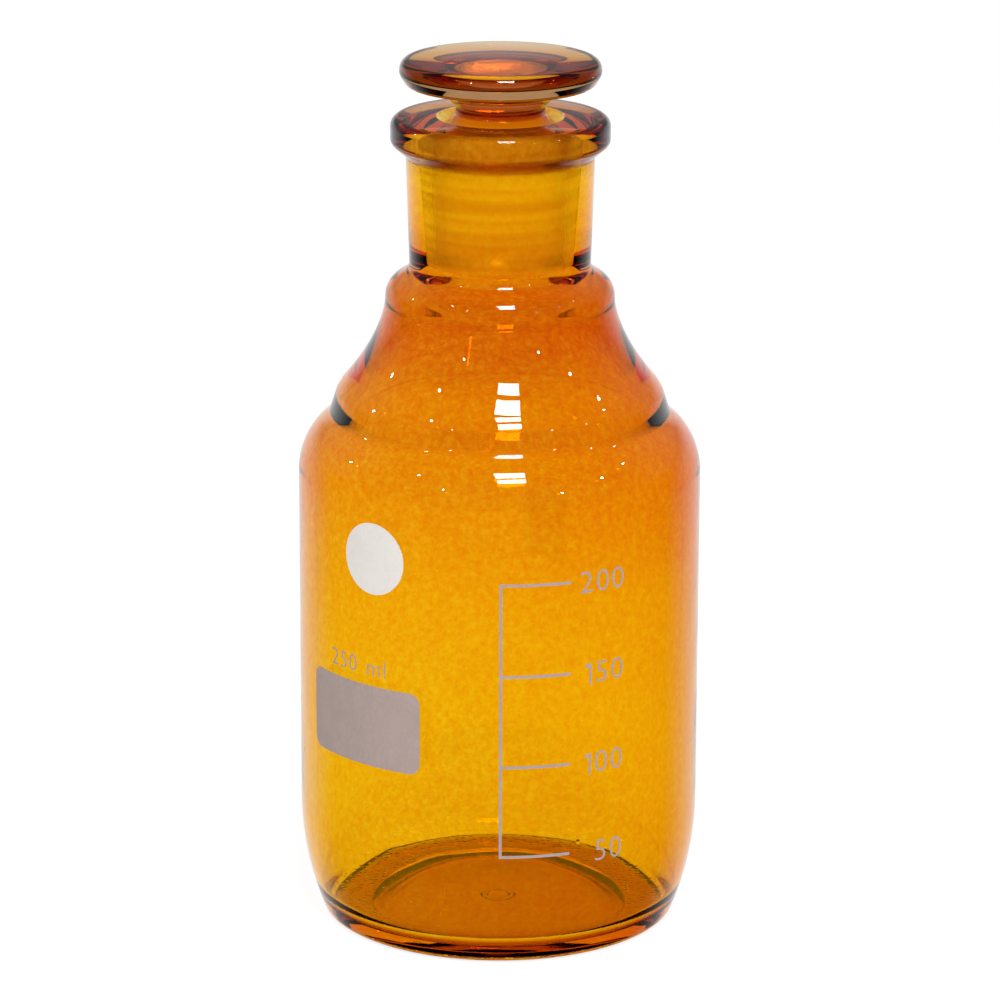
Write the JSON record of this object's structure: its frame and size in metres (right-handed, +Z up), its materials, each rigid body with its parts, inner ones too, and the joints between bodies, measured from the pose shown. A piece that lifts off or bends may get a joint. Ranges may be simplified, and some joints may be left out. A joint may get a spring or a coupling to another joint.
{
  "type": "reagent bottle",
  "caption": "Round amber glass reagent bottle with sloping shoulder, narrow ground neck, flat lift-out glass stopper and fired enamel volume scale.",
  "frame": {"origin": "on the surface that the bottle stands on, on the bottle's axis", "axes": "+Z up along the bottle's axis; the enamel volume scale faces -Y; +X is to the right of someone who reads the scale"},
  "size_m": [0.069, 0.0694, 0.1505],
  "materials": {
    "amber_glass": "smooth clear amber glass, glossy",
    "white_enamel": null,
    "grey_enamel": "thin fired white ceramic enamel that reads lilac grey over the amber glass, satin"
  },
  "bodies": {
    "bottle": {"bottle": "amber_glass", "label_panel": "grey_enamel", "marking_spot": "white_enamel", "graduation_scale": "grey_enamel", "scale_number_50_1_5": "grey_enamel", "scale_number_50_2_0": "grey_enamel", "scale_number_100_1_1": "grey_enamel", "scale_number_100_2_0": "grey_enamel", "scale_number_100_3_0": "grey_enamel", "scale_number_150_1_1": "grey_enamel", "scale_number_150_2_5": "grey_enamel", "scale_number_150_3_0": "grey_enamel", "scale_number_200_1_2": "grey_enamel", "scale_number_200_2_0": "grey_enamel", "scale_number_200_3_0": "grey_enamel", "capacity_mark_1_2": "grey_enamel", "capacity_mark_2_5": "grey_enamel", "capacity_mark_3_0": "grey_enamel", "capacity_mark_5_m": "grey_enamel", "capacity_mark_6_l": "grey_enamel"},
    "stopper": {"stopper": "amber_glass"}
  },
  "joints": [
    {"name": "stopper_lift", "type": "slide", "parent": "bottle", "child": "stopper", "axis": [0, 0, 1], "range_m": [0, 0.06]}
  ]
}
